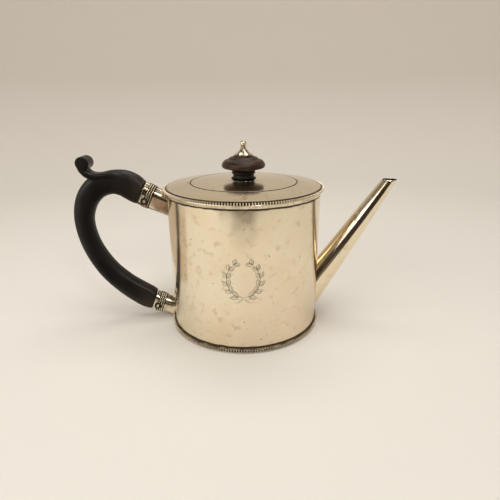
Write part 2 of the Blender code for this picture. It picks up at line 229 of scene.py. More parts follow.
def tube(name, path, radius, material, sides):
    """Round wire along a path that closes on itself."""
    path = np.array(path, float)
    tangents = np.roll(path, -1, axis=0) - np.roll(path, 1, axis=0)
    tangents /= np.linalg.norm(tangents, axis=1, keepdims=True)
    normal = np.cross(tangents[0], (0.3, 0.5, 0.8))
    rings = np.empty((len(path), sides, 3))
    angles = turns(sides)
    for i, tangent in enumerate(tangents):
        normal = normal - tangent * np.dot(normal, tangent)
        normal /= np.linalg.norm(normal)
        side = np.cross(tangent, normal)
        offsets = np.cos(angles)[:, None] * normal + np.sin(angles)[:, None] * side
        rings[i] = path[i] + radius * offsets
    return new_object(name, ring_mesh(name, rings), material)


def boolean(obj, other, operation="DIFFERENCE"):
    """Applies an exact boolean and deletes the other object."""
    modifier = obj.modifiers.new("boolean", "BOOLEAN")
    modifier.operation = operation
    modifier.solver = "EXACT"
    modifier.object = other
    apply_modifiers(obj)
    bpy.data.objects.remove(other, do_unlink=True)


def apply_modifiers(obj):
    depsgraph = bpy.context.evaluated_depsgraph_get()
    mesh = bpy.data.meshes.new_from_object(obj.evaluated_get(depsgraph))
    obj.modifiers.clear()
    obj.data = mesh


def join_objects(objects):
    """Joins objects into the first and returns it."""
    meshes = bmesh.new()
    for obj in objects:
        copy = obj.data.copy()
        copy.transform(obj.matrix_world)
        meshes.from_mesh(copy)
    first = objects[0]
    meshes.to_mesh(first.data)
    meshes.free()
    first.matrix_world = Matrix.Identity(4)
    first.data.shade_smooth()
    for obj in objects[1:]:
        bpy.data.objects.remove(obj, do_unlink=True)
    return first


def rod(name, radius, start, end, material, segments=32, bevel=0.15 * MM):
    """Round rod between two points with softened ends."""
    start = Vector(start)
    end = Vector(end)
    length = (end - start).length
    profile = filleted([(0, length), (radius, length), (radius, 0), (0, 0)], bevel, closed=False)
    obj = lathe(name, profile, material, segments, on_axis=True)
    turn = (end - start).to_track_quat("Z", "Y").to_matrix().to_4x4()
    obj.data.transform(Matrix.Translation(start) @ turn)
    return obj


def block(name, low, high):
    """Plain box used only as a boolean cutter."""
    solid = bmesh.new()
    size = Vector(high) - Vector(low)
    middle = (Vector(high) + Vector(low)) / 2
    matrix = Matrix.Translation(middle) @ Matrix.Diagonal((*size, 1.0))
    bmesh.ops.create_cube(solid, size=1.0, matrix=matrix)
    mesh = bpy.data.meshes.new(name)
    solid.to_mesh(mesh)
    solid.free()
    return new_object(name, mesh, None)


def place(obj, body, slot, *nodes):
    """Rides a finished piece on its body and hides the CAD nodes it stands for; the slot is not used.
    """
    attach(obj, body)
    if nodes:
        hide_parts(*nodes)
    return obj


# ---------------------------------------------------------------- old silver is never quite even

def ripple(points, seed, lengths=(0.011, 0.017, 0.026, 0.041), waves=10):
    """Smooth noise from -1 to 1 at each point, a sum of plane waves of the given lengths."""
    source = random.Random(seed)
    points = np.asarray(points, float)
    total = np.zeros(len(points))
    for wave in range(waves):
        direction = np.array([source.gauss(0, 1) for _ in range(3)])
        direction /= np.linalg.norm(direction)
        length = lengths[wave % len(lengths)]
        total += np.sin(points @ direction * math.tau / length + source.uniform(0, math.tau))
    return total / waves


def wall_ripple(points):
    """Outward displacement of the drum wall, fading to nothing at its two borders."""
    heights = np.asarray(points)[:, 2]
    margin = 4 * MM
    fade = 8 * MM
    inside = np.clip((heights - WALL_BOTTOM - margin) / fade, 0, 1)
    inside *= np.clip((WALL_TOP - margin - heights) / fade, 0, 1)
    return WALL_RIPPLE * inside * ripple(points, 7)


def points_of(obj):
    return np.array([vertex.co for vertex in obj.data.vertices])


def move_points(obj, points):
    obj.data.vertices.foreach_set("co", points.ravel())


def dent_wall(obj):
    points = points_of(obj)
    radii = np.linalg.norm(points[:, :2], axis=1)
    push = 1 + wall_ripple(points) / radii
    points[:, :2] *= push[:, None]
    move_points(obj, points)


def dent_plate(obj, seed):
    points = points_of(obj)
    points[:, 2] += SHEET_RIPPLE * ripple(points * (1, 1, 0), seed)
    move_points(obj, points)


# ---------------------------------------------------------------- materials

class Nodes:
    """Short helper for building one Principled material."""

    def __init__(self, name):
        self.material = bpy.data.materials.new(name)
        self.material.use_nodes = True
        self.tree = self.material.node_tree
        self.shader = self.tree.nodes["Principled BSDF"]

    def set(self, **values):
        for socket, value in values.items():
            self.shader.inputs[socket.replace("_", " ")].default_value = value

    def add(self, kind, **settings):
        node = self.tree.nodes.new(kind)
        for key, value in settings.items():
            if key in node.inputs:
                node.inputs[key].default_value = value
            else:
                setattr(node, key, value)
        return node

    def link(self, source, target):
        self.tree.links.new(source, target)

    def feed(self, socket, value):
        """Links a node's output to a socket, or sets a number or an rgb tuple on it."""
        if isinstance(value, bpy.types.NodeSocket):
            self.link(value, socket)
        elif isinstance(value, tuple):
            socket.default_value = (*value, 1.0)
        else:
            socket.default_value = value

    def position(self, scale=(1.0, 1.0, 1.0)):
        """Object coordinates, stretched."""
        coordinates = self.add("ShaderNodeTexCoord")
        mapping = self.add("ShaderNodeMapping")
        mapping.inputs["Scale"].default_value = scale
        self.link(coordinates.outputs["Object"], mapping.inputs["Vector"])
        return mapping.outputs["Vector"]

    def noise(self, scale, detail=4.0, stretch=(1.0, 1.0, 1.0)):
        node = self.add("ShaderNodeTexNoise", Scale=scale, Detail=detail, Roughness=0.55)
        self.link(self.position(stretch), node.inputs["Vector"])
        return node.outputs["Fac"]

    def ramp(self, value, stops):
        """Colour or grey ramp from (position, grey or rgb) stops."""
        node = self.add("ShaderNodeValToRGB")
        elements = node.color_ramp.elements
        while len(elements) < len(stops):
            elements.new(0.5)
        for element, (place_at, colour) in zip(elements, stops):
            element.position = place_at
            if isinstance(colour, (int, float)):
                colour = (colour, colour, colour)
            element.color = (*colour, 1.0)
        self.link(value, node.inputs["Fac"])
        return node.outputs["Color"]

    def mix(self, factor, first, second, blend="MIX"):
        """Colour mix; first and second are sockets or rgb tuples."""
        node = self.add("ShaderNodeMix", data_type="RGBA", blend_type=blend)
        for index, value in ((0, factor), (6, first), (7, second)):
            self.feed(node.inputs[index], value)
        return node.outputs[2]

    def math(self, operation, first, second=0.0):
        node = self.add("ShaderNodeMath", operation=operation)
        for socket, value in zip(node.inputs, (first, second)):
            self.feed(socket, value)
        return node.outputs[0]

    def axes(self):
        """The three object coordinates, in metres."""
        separate = self.add("ShaderNodeSeparateXYZ")
        self.link(self.position(), separate.inputs[0])
        return separate.outputs

    def height_and_radius(self):
        """Height above the base and distance from the drum's axis, in metres."""
        x, y, z = self.axes()
        radius = self.math("SQRT", self.math("ADD", self.math("MULTIPLY", x, x),
                                             self.math("MULTIPLY", y, y)))
        return z, radius

    def finish(self, colour, roughness):
        """Connects the shader's colour and roughness and returns the material."""
        self.feed(self.shader.inputs["Base Color"], colour)
        self.feed(self.shader.inputs["Roughness"], roughness)
        return self.material

    def bump(self, height, distance, strength):
        node = self.add("ShaderNodeBump", Strength=strength, Distance=distance)
        self.link(height, node.inputs["Height"])
        self.link(node.outputs["Normal"], self.shader.inputs["Normal"])


SILVER = (0.885, 0.785, 0.600)
SILVER_DULL = (0.840, 0.715, 0.510)
SILVER_PALE = (0.905, 0.820, 0.660)
TARNISH_AND_SHADE = (0.060, 0.040, 0.022)
STAIN = (0.62, 0.46, 0.29)
VEIL = (0.74, 0.58, 0.43)
PIT = (0.30, 0.22, 0.13)


def old_silver(name, roughness=0.13, dark_bands=(), seams=(), inner_radius=None, dirt_and_shade=0.0):
    """Worn polished silver: uneven tone, fine scratches, pits, tarnish in its hollows, and painted
    shade.

    Each dark band is (height, half width, strength), and each seam is a radius about the axis; both
    lay tarnish together with painted shade. Inside inner_radius the metal is stained brown.
    The dirt_and_shade amount, from 0 to 1, spreads tarnish all over; set high, it is also painted
    shade that stands in for dark reflections.
    """
    nodes = Nodes(name)
    nodes.set(Metallic=1.0)
    cloud = nodes.noise(34.0, 5.0)
    tone = nodes.ramp(cloud, [(0.30, SILVER_DULL), (0.50, SILVER), (0.72, SILVER_PALE)])
    streak = nodes.noise(60.0, 3.0, stretch=(1.0, 1.0, 0.22))
    tone = nodes.mix(nodes.ramp(streak, [(0.52, 0.0), (0.72, 0.35)]), tone, SILVER_DULL)
    stains = nodes.ramp(nodes.noise(190.0, 3.0), [(0.56, 0.0), (0.72, 0.60)])
    tone = nodes.mix(stains, tone, STAIN)
    veil = nodes.ramp(nodes.noise(16.0, 3.0), [(0.45, 0.0), (0.64, 0.48)])
    tone = nodes.mix(veil, tone, VEIL)
    pits = nodes.add("ShaderNodeTexVoronoi", Scale=140.0, Randomness=1.0)
    nodes.link(nodes.position(), pits.inputs["Vector"])
    pit_mask = nodes.ramp(pits.outputs["Distance"], [(0.04, 1.0), (0.10, 0.0)])
    sparse = nodes.ramp(nodes.noise(70.0, 2.0), [(0.50, 0.0), (0.58, 0.9)])
    pit_mask = nodes.mix(1.0, pit_mask, sparse, "MULTIPLY")
    tone = nodes.mix(pit_mask, tone, PIT)
    # Random tarnish mottling; at high amounts it is also painted shade.
    if dirt_and_shade:
        dirt_and_shade_mask = nodes.ramp(nodes.noise(260.0, 4.0), [(0.40, 0.0), (0.68, dirt_and_shade)])
        tone = nodes.mix(dirt_and_shade_mask, tone, TARNISH_AND_SHADE)
    if dark_bands or inner_radius or seams:
        height, radius = nodes.height_and_radius()
        edge = nodes.noise(150.0, 5.0)

        def distance_from(value, centre, raggedness, width):
            """Distance from a ragged line, counted in widths."""
            wobble = nodes.math("MULTIPLY", nodes.math("SUBTRACT", edge, 0.5), raggedness)
            offset = nodes.math("ADD", nodes.math("SUBTRACT", value, centre), wobble)
            return nodes.math("DIVIDE", nodes.math("ABSOLUTE", offset), width)

        # Dark bands and seam lines: tarnish together with painted shade in joints, gaps and necks.
        for centre, width, strength in dark_bands:
            distance = distance_from(height, centre, 2.2 * width, width)
            tone = nodes.mix(nodes.ramp(distance, [(0.25, strength), (1.0, 0.0)]), tone, TARNISH_AND_SHADE)
        for seam in seams:
            distance = distance_from(radius, seam, 0.5 * MM, 0.75 * MM)
            tone = nodes.mix(nodes.ramp(distance, [(0.45, 0.97), (1.0, 0.0)]), tone, TARNISH_AND_SHADE)
        if inner_radius:
            inside = nodes.math("LESS_THAN", radius, inner_radius)
            stain = nodes.ramp(nodes.noise(45.0, 5.0), [(0.3, (0.30, 0.21, 0.12)),
                                                        (0.7, (0.55, 0.44, 0.30))])
            tone = nodes.mix(inside, tone, stain)
    scratches = nodes.noise(900.0, 2.0, stretch=(1.0, 1.0, 0.06))
    rough = nodes.math("ADD", roughness - 0.05, nodes.math("MULTIPLY", cloud, 0.10))
    rough = nodes.math("ADD", rough, nodes.math("MULTIPLY", scratches, 0.05))
    nodes.bump(nodes.noise(1500.0, 2.0, stretch=(1.0, 1.0, 0.3)), 0.000012, 0.35)
    return nodes.finish(tone, rough)


def black_wood(name):
    """Ebonised wood: nearly black and dull, rubbed through to brown towards the sockets."""
    nodes = Nodes(name)
    nodes.set(Metallic=0.0, Specular_IOR_Level=0.30)
    grain = nodes.noise(420.0, 5.0, stretch=(0.35, 1.0, 0.12))
    patches = nodes.noise(48.0, 4.0)
    base = nodes.ramp(grain, [(0.30, (0.0042, 0.0033, 0.0026)), (0.70, (0.0100, 0.0074, 0.0057))])
    near_socket = nodes.ramp(nodes.math("MULTIPLY", nodes.axes()[0], -10.0),
                             [(0.40, 0.0), (0.62, 0.85), (0.74, 0.85), (0.86, 0.25), (1.0, 0.0)])
    worn = nodes.ramp(patches, [(0.35, 0.15), (0.70, 1.0)])
    worn = nodes.mix(1.0, worn, near_socket, "MULTIPLY")
    nodes.bump(grain, 0.00003, 0.35)
    return nodes.finish(nodes.mix(worn, base, (0.040, 0.023, 0.012)),
                        nodes.ramp(patches, [(0.25, 0.34), (0.75, 0.48)]))


def brown_wood(name):
    """Dark reddish turned wood with rings of grain from the lathe."""
    nodes = Nodes(name)
    nodes.set(Metallic=0.0, Specular_IOR_Level=0.35)
    rings = nodes.noise(170.0, 4.0, stretch=(0.35, 0.35, 9.0))
    flecks = nodes.noise(900.0, 3.0)
    base = nodes.ramp(rings, [(0.34, (0.007, 0.003, 0.0015)), (0.52, (0.032, 0.012, 0.006)),
                              (0.70, (0.080, 0.034, 0.017))])
    base = nodes.mix(nodes.ramp(flecks, [(0.55, 0.0), (0.75, 0.5)]), base, (0.012, 0.006, 0.004))
    nodes.bump(rings, 0.00008, 0.5)
    return nodes.finish(base, nodes.ramp(flecks, [(0.3, 0.30), (0.7, 0.48)]))


def engraved_line(name):
    """Oxidised bottom of an engraved cut."""
    nodes = Nodes(name)
    nodes.set(Metallic=0.35)
    depth = nodes.noise(700.0, 3.0)
    tone = nodes.ramp(depth, [(0.3, (0.040, 0.034, 0.026)), (0.7, (0.105, 0.090, 0.070))])
    return nodes.finish(tone, nodes.ramp(depth, [(0.3, 0.45), (0.7, 0.62)]))


def tarnished(name, metallic, lightness, roughness):
    """Black-brown sulphide crust, which on the border rings, in grooves, between beads, inside the
    spout and round the finial is also painted shade.
    """
    nodes = Nodes(name)
    nodes.set(Metallic=metallic)
    crust = nodes.noise(380.0, 4.0)
    dark, light = (tuple(lightness * channel for channel in tone)
                   for tone in ((0.016, 0.011, 0.007), (0.075, 0.056, 0.036)))
    nodes.bump(crust, 0.00004, 0.5)
    return nodes.finish(nodes.ramp(crust, [(0.35, dark), (0.70, light)]),
                        nodes.ramp(crust, [(0.3, roughness), (0.7, roughness + 0.18)]))


SEAM_RADIUS = LID_RADIUS + 0.5 * LID_SEAM
# The wall's dark bands just above the foot and just under the rim are tarnish in the joints and
# painted shade under the mouldings.
WALL_SILVER = old_silver("drum_silver", 0.14,
                         dark_bands=((4.0 * MM, 0.8 * MM, 0.97), (97.9 * MM, 0.8 * MM, 0.95)),
                         inner_radius=BODY_RADIUS - 0.4 * MM)
# The seam lines on the plate and lid are tarnish and painted shade along the lid's gap and at the
# plate's outer edge.
PLATE_SILVER = old_silver("plate_silver", 0.13, seams=(SEAM_RADIUS, PLATE_RADIUS))
LID_SILVER = old_silver("lid_silver", 0.13, seams=(SEAM_RADIUS,))
SPOUT_SILVER = old_silver("spout_silver", 0.10)
# The border's band under its lip and the foot's black band over its hollow flare are tarnish and
# painted shade; the foot's high dirt_and_shade darkens it further.
BORDER_SILVER = old_silver("border_silver", 0.18, dark_bands=((98.2 * MM, 0.8 * MM, 0.95),),
                           dirt_and_shade=0.35)
FOOT_SILVER = old_silver("foot_silver", 0.25, dark_bands=((3.3 * MM, 1.3 * MM, 0.97),),
                         dirt_and_shade=0.6)
BEAD_SILVER = old_silver("bead_silver", 0.28)
# The heavy dirt_and_shade on the sockets and the cap is tarnish and painted shade standing in for
# their dark reflections; the cap's two bands are painted shade in its neck and under its flange.
SOCKET_SILVER = old_silver("socket_silver", 0.15, dirt_and_shade=0.62)
CAP_SILVER = old_silver("cap_silver", 0.17, dark_bands=((129.1 * MM, 0.6 * MM, 0.7),
                                                       (123.1 * MM, 0.8 * MM, 0.9)), dirt_and_shade=0.85)
FITTING_SILVER = old_silver("fitting_silver", 0.20, dirt_and_shade=0.65)
INNER_SILVER = old_silver("inner_silver", 0.35, dirt_and_shade=0.95)
TARNISHED_AND_SHADED = tarnished("tarnished_and_shaded_silver", 0.6, 1.0, 0.42)
TARNISH_AND_SHADE_BLACK = tarnished("tarnish_and_shade_black", 1.0, 0.3, 0.6)
BLACK_WOOD = black_wood("ebonised_wood")
BROWN_WOOD = brown_wood("stained_wood")
ENGRAVED = engraved_line("engraved_line")


# ---------------------------------------------------------------- drum

def crown(radius):
    """Height of the domed top at a distance from the axis."""
    return CROWN_TOP - radius * radius / (2 * CROWN_RADIUS)


def make_wall():
    """Drum wall with strainer holes behind the spout."""
    rows = 72
    outer = [(BODY_RADIUS, WALL_TOP + (WALL_BOTTOM - WALL_TOP) * i / rows) for i in range(rows + 1)]
    inner = [(BODY_RADIUS - SHEET, z) for _, z in reversed(outer[::4])]
    wall = lathe("drum_wall", outer + inner, WALL_SILVER, 288)
    dent_wall(wall)
    holes = []
    for row in range(-3, 4):
        count = 3 if row % 2 == 0 else 2
        for hole in range(count):
            y = (hole - (count - 1) / 2) * STRAINER_PITCH
            z = STRAINER_HEIGHT + row * STRAINER_PITCH * math.sqrt(0.75)
            holes.append(rod("strainer_drill", STRAINER_HOLE, (BODY_RADIUS - 6 * MM, y, z),
                             (BODY_RADIUS + 3 * MM, y, z), None, 20))
    boolean(wall, join_objects(holes))
    place(wall, "pot", "polished_silver", "body_wall")


def make_base():
    base_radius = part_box("base_plate")[1].x
    base_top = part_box("base_plate")[1].z
    profile = filleted([(0, base_top), (base_radius, base_top), (base_radius, 0), (0, 0)],
                       0.25 * MM, closed=False)
    plate = lathe("drum_base", profile, INNER_SILVER, on_axis=True)
    place(plate, "pot", "polished_silver", "base_plate")
    low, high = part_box("base_moulding")
    inner = BODY_RADIUS - 0.1 * MM
    outer = high.x
    top = 3.5 * MM
    moulding = filleted([(inner, top), (inner + 0.3 * MM, top - 0.1 * MM),
                         (inner + 0.4 * MM, 2.9 * MM), (outer - 1.3 * MM, 2.0 * MM),
                         (outer - 1.2 * MM, 1.4 * MM),
                         (inner, low.z - 0.5 * MM)], 0.3 * MM)
    moulding = lathe("foot_moulding", moulding, FOOT_SILVER)
    half = SOCKET_WIDTH + 0.1 * MM
    boolean(moulding, block("socket_gap", (-70 * MM, -half, 2 * MM), (-40 * MM, half, 7.5 * MM)))
    place(moulding, "pot", "polished_silver", "base_moulding")


def make_top_moulding():
    low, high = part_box("top_moulding")
    inner = BODY_RADIUS - 0.1 * MM
    outer = high.x
    profile = filleted([(inner, high.z + 1.1 * MM), (outer - 0.4 * MM, high.z + 1.0 * MM),
                        (outer + 0.1 * MM, high.z + 0.3 * MM), (outer - 0.25 * MM, high.z - 0.4 * MM),
                        (outer - 0.75 * MM, high.z - 1.0 * MM), (inner + 0.75 * MM, low.z + 0.35 * MM),
                        (inner + 0.55 * MM, low.z), (inner, low.z)], 0.35 * MM)
    moulding = lathe("rim_moulding", profile, BORDER_SILVER)
    place(moulding, "pot", "polished_silver", "top_moulding")


def make_beads(name, node, count, seed, wide, tall=1.0, lift=0.0):
    """Ring of beads on a thin black core wire, painted shade that shows in the gaps between the beads;
    each bead a little different, as struck wire is.

    wide and tall scale a bead along the border and upward, and lift raises the row.
    """
    low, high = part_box(node)
    wire = 0.5 * (high.z - low.z)
    radius = 0.98 * wire
    middle = high.x - wire
    height = 0.5 * (high.z + low.z) + lift
    source = random.Random(seed)
    solid = bmesh.new()
    for bead in range(count):
        angle = math.tau * bead / count + source.uniform(-0.001, 0.001)
        size = radius * source.uniform(0.95, 1.04)
        turn = Matrix.Rotation(angle, 4, "Z")
        spot = Matrix.Translation((middle + source.uniform(-0.03, 0.03) * MM, 0, height))
        shape = Matrix.Diagonal((1.0, wide, tall, 1.0))
        bmesh.ops.create_uvsphere(solid, u_segments=14, v_segments=9, radius=size,
                                  matrix=turn @ spot @ shape)
    mesh = bpy.data.meshes.new(name)
    solid.to_mesh(mesh)
    solid.free()
    beads = new_object(name, mesh, BEAD_SILVER)
    place(beads, "pot", "polished_silver", node)
    # The black core is painted shade between the beads.
    core = [(middle + 0.50 * wire * math.cos(a), height + 0.50 * wire * math.sin(a))
            for a in turns(10)]
    core = lathe(name + "_core", core, TARNISH_AND_SHADE_BLACK, 128)
    place(core, "pot", "silver_fittings")


def make_tarnish_and_shade_line(name, low, high, wall_side, seed):
    """Thin crust of black tarnish and painted shade along a border where it meets the wall, ragged at
    its height on the wall's side.
    """
    inner = BODY_RADIUS - 0.1 * MM
    outer = BODY_RADIUS + 0.28 * MM
    raggedness = 0.6 * MM
    line = lathe(name, [(inner, high), (outer - 0.1 * MM, high), (outer, 0.5 * (low + high)),
                        (outer - 0.1 * MM, low), (inner, low)], TARNISHED_AND_SHADED, 360)
    points = points_of(line)
    ragged = ripple(points * (1, 1, 0), seed, (0.0035, 0.006, 0.011), 12)
    moved = np.abs(points[:, 2] - wall_side) < 0.1 * MM
    points[moved, 2] += raggedness * ragged[moved]
    move_points(line, points)
    place(line, "pot", "silver_fittings")


def plate_profile(inner, outer, steps):
    """Section of the domed sheet with softened edges."""
    radii = np.linspace(inner, outer, steps)
    upper = [(r, crown(r)) for r in radii]
    lower = [(r, crown(r) - SHEET) for r in radii[::-1]]
    edge = 0.12 * MM
    upper[0] = (inner, crown(inner) - edge)
    upper.insert(1, (inner + edge, crown(inner + edge)))
    upper[-1] = (outer, crown(outer) - edge)
    upper.insert(-1, (outer - edge, crown(outer - edge)))
    return upper + lower


def make_top_plate():
    """Domed plate round the lid, with a narrow hugging slot for the lid's hinge knuckle."""
    opening = LID_RADIUS + LID_SEAM
    profile = plate_profile(opening, PLATE_RADIUS + 0.15 * MM, 26)
    plate = lathe("top_plate_dome", profile, PLATE_SILVER)
    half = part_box("lid_hinge_leaf")[1].y + 0.08 * MM
    slot = rod("knuckle_slot", 1.60 * MM, HINGE - Vector((0, half, 0)), HINGE + Vector((0, half, 0)),
               None, 48, 0.0001 * MM)
    boolean(plate, slot)
    boolean(plate, block("slot_front", (HINGE.x, -half, HINGE.z - 2 * MM),
                         (HINGE.x + 3 * MM, half, HINGE.z + 3 * MM)))
    dent_plate(plate, 21)
    place(plate, "pot", "polished_silver", "top_plate")
    low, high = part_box("lid_seat_ring")
    seat_inner = 35.5 * MM
    seat = lathe("lid_seat", filleted([(high.x, high.z), (high.x, low.z), (seat_inner, low.z),
                                       (seat_inner, high.z)], 0.15 * MM), INNER_SILVER)
    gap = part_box("hinge_fixed_knuckles")[1].y + 0.3 * MM
    boolean(seat, block("seat_gap", (-50 * MM, -gap, 95 * MM), (-33.5 * MM, gap, 110 * MM)))
    place(seat, "pot", "polished_silver", "lid_seat_ring")


# ---------------------------------------------------------------- spout

def spout_point(along, angle, inset=0.0):
    """Point on the spout: along is the distance down its axis from the mouth's centre."""
    flare = (SPOUT_BASE_RADIUS - SPOUT_MOUTH_RADIUS) / SPOUT_LENGTH
    belly = SPOUT_BELLY * np.sin(np.pi * np.clip(along / SPOUT_LENGTH, 0, 1))
    radius = SPOUT_MOUTH_RADIUS + flare * along - inset + belly
    cosine = math.cos(SPOUT_ANGLE)
    sine = math.sin(SPOUT_ANGLE)
    mouth_x = SPOUT_TIP.x - SPOUT_MOUTH_RADIUS / sine - 0.1 * MM
    x = mouth_x - along * cosine - radius * np.cos(angle) * sine
    y = radius * np.sin(angle)
    z = SPOUT_TIP.z - along * sine + radius * np.cos(angle) * cosine
    return x, y, z


def solve(function, low, high, steps=40):
    """Root of a falling function between two arrays of bounds, by bisection."""
    low = np.array(low, float)
    high = np.array(high, float)
    for _ in range(steps):
        middle = 0.5 * (low + high)
        positive = function(middle) > 0
        low = np.where(positive, middle, low)
        high = np.where(positive, high, middle)
    return 0.5 * (low + high)


def make_spout():
    """Tapered tube from the drum to the level mouth, with a soldered fillet at its foot."""
    angles = turns(96)
    none = np.zeros_like(angles)

    def above_mouth(along, inset):
        return spout_point(along, angles, inset)[2] - SPOUT_TIP.z

    def outside_drum(along, inset):
        x, y, _ = spout_point(along, angles, inset)
        return np.hypot(x, y) - BODY_RADIUS + 0.15 * MM

    def strip(inset, rows, start=0.0):
        top = solve(lambda s: above_mouth(s, inset), none - 10 * MM, none + 10 * MM)
        foot = solve(lambda s: outside_drum(s, inset), none + 40 * MM, none + 110 * MM)
        fractions = np.linspace(start, 1, rows)[:, None]
        along = top + fractions * (foot - top)
        return np.stack(np.broadcast_arrays(*spout_point(along, angles[None, :], inset)), axis=-1)

    lip_sheet = 0.18 * MM
    outer = strip(0.0, 90)
    inner = strip(lip_sheet, 60)[::-1]
    lip = 0.5 * (outer[0] + inner[-1]) + np.array((0, 0, 0.05 * MM))
    rings = np.concatenate([outer, inner, lip[None]])
    spout = new_object("spout_tube", ring_mesh("spout_tube", rings), SPOUT_SILVER)
    # Black sheet inside the spout: painted shade that makes the mouth read dark.
    below_lip = 0.0004
    mouth_shade = np.concatenate([strip(lip_sheet + 0.02 * MM, 60, below_lip),
                             strip(SHEET, 60, below_lip)[::-1]])
    mouth_shade = new_object("spout_mouth_shade", ring_mesh("spout_mouth_shade", mouth_shade), TARNISH_AND_SHADE_BLACK)
    place(mouth_shade, "pot", "silver_fittings")
    points = points_of(spout)
    points += SHEET_RIPPLE * ripple(points, 33)[:, None] * np.array((0.7, 0.7, 0.1))
    move_points(spout, points)
    place(spout, "pot", "polished_silver", "spout")
    seam = tube("spout_solder", outer[-1], 0.42 * MM, FITTING_SILVER, 8)
    place(seam, "pot", "silver_fittings")


# ---------------------------------------------------------------- sockets and pins

def arch_section(count=64, corner=0.30):
    """Unit section: half-round top, straight sides, flat bottom with rounded corners."""
    arch = [(math.cos(a), math.sin(a)) for a in np.linspace(0, math.pi, 25)]
    floor = [(-1.0, -0.45), (-1.0, -1.0), (1.0, -1.0), (1.0, -0.45)]
    rounded = filleted(floor, corner, 6, closed=False)
    outline = np.array(arch + [tuple(p) for p in rounded])
    closed = np.vstack([outline, outline[:1]])
    lengths = np.concatenate([[0], np.cumsum(np.linalg.norm(np.diff(closed, axis=0), axis=1))])
    targets = np.linspace(0, lengths[-1], count, endpoint=False)
    return np.stack([np.interp(targets, lengths, closed[:, k]) for k in (0, 1)], axis=1)


def make_socket(size):
    """Reeded ferrule between drum and wood, with a pin through it and a boss on each side."""
    name = size["name"]
    drum = np.array((size["drum"][0], 0.0, size["drum"][1])) * MM
    wood = np.array((size["wood"][0], 0.0, size["wood"][1])) * MM
    length = np.linalg.norm(wood - drum)
    along = (wood - drum) / length
    across = np.array((0.0, 1.0, 0.0))
    upward = np.cross(across, along) * -1
    upward *= np.sign(upward[2])
    section = arch_section()

    def ring(distance, offset):
        """Section at a distance from the drum point, which may differ round the outline."""
        widening = (distance + SOCKET_SINK) / (length + SOCKET_SINK)
        scale = size["taper"] + (1 - size["taper"]) * widening
        half_height = scale * size["height"] * MM + offset
        half_width = scale * SOCKET_WIDTH + offset
        sideways = (section[:, 0] * half_width)[:, None] * across
        vertical = (section[:, 1] * half_height)[:, None] * upward
        return drum + np.asarray(distance)[:, None] * along + sideways + vertical

    def meets_drum(offset):
        count = len(section)
        spread = np.zeros(count)
        gap = solve(lambda t: BODY_RADIUS - np.hypot(ring(t, offset)[:, 0], ring(t, offset)[:, 1]),
                    spread - 6 * MM, spread + 8 * MM)
        return gap - 0.1 * MM

    plain_end = length - REED_START - (REED_COUNT + 0.2) * REED_PITCH
    foot = meets_drum(0.0)
    rows = [ring(foot + (plain_end - foot) * f, 0.0) for f in np.linspace(0, 1, 14)]
    steady = np.ones(len(section))
    for distance in np.linspace(plain_end, length, 70)[1:]:
        from_wood = length - distance
        offset = 0.0
        for reed in range(REED_COUNT):
            reach = (from_wood - REED_START - reed * REED_PITCH) / REED_RADIUS
            if abs(reach) < 1:
                offset = REED_RADIUS * math.sqrt(1 - reach * reach)
        if from_wood < 0.2 * MM:
            offset = -(0.2 * MM - from_wood)
        rows.append(ring(steady * distance, offset))
    wall = -0.9 * MM
    inner_foot = meets_drum(wall)
    rows.append(ring(steady * (length - 0.1 * MM), wall))
    rows += [ring(inner_foot + (length - 0.3 * MM - inner_foot) * f, wall)
             for f in np.linspace(1, 0, 6)]
    mesh = ring_mesh(name + "_ferrule", np.array(rows))
    socket = new_object(name + "_ferrule", mesh, SOCKET_SILVER)
    place(socket, "pot", "polished_silver", name + "_socket")
    foot_line = tube(name + "_solder", rows[0], 0.35 * MM, FITTING_SILVER, 8)
    place(foot_line, "pot", "silver_fittings")
    # Black lines in the grooves beside the reeds: tarnish and painted shade.
    for groove in range(REED_COUNT + 1):
        from_wood = REED_START + (groove - 0.5) * REED_PITCH
        line = tube("%s_groove_%d" % (name, groove + 1), ring(steady * (length - from_wood), 0.0),
                    0.42 * MM, TARNISH_AND_SHADE_BLACK, 8)
        place(line, "pot", "silver_fittings")

    centre = Vector((size["pin"][0] * MM, 0, size["pin"][1] * MM))
    for side, sign in (("front", -1.0), ("back", 1.0)):
        face = sign * (SOCKET_WIDTH - 0.3 * MM)
        outline = [(2.5, 0.2), (2.5, 0.9), (2.2, 1.25), (1.8, 1.2), (1.5, 0.55), (0, 0.45)]
        profile = filleted(np.array(outline) * MM, 0.25 * MM, closed=False)
        profile = np.vstack([[(0, 0.2 * MM)], profile])
        boss = lathe(name + "_boss_" + side, profile, TARNISHED_AND_SHADED, 48, on_axis=True)
        turn = Matrix.Rotation(math.pi / 2 * -sign, 4, "X")
        boss.data.transform(Matrix.Translation(centre + Vector((0, face, 0))) @ turn)
        place(boss, "pot", "silver_fittings", name + "_pin_boss_" + side)
    reach = Vector((0, SOCKET_WIDTH + 1.0 * MM, 0))
    pin = rod(name + "_pin", 1.0 * MM, centre - reach, centre + reach, BEAD_SILVER, 32, 0.5 * MM)
    place(pin, "pot", "silver_fittings", name + "_socket_pin")


# ---------------------------------------------------------------- handle

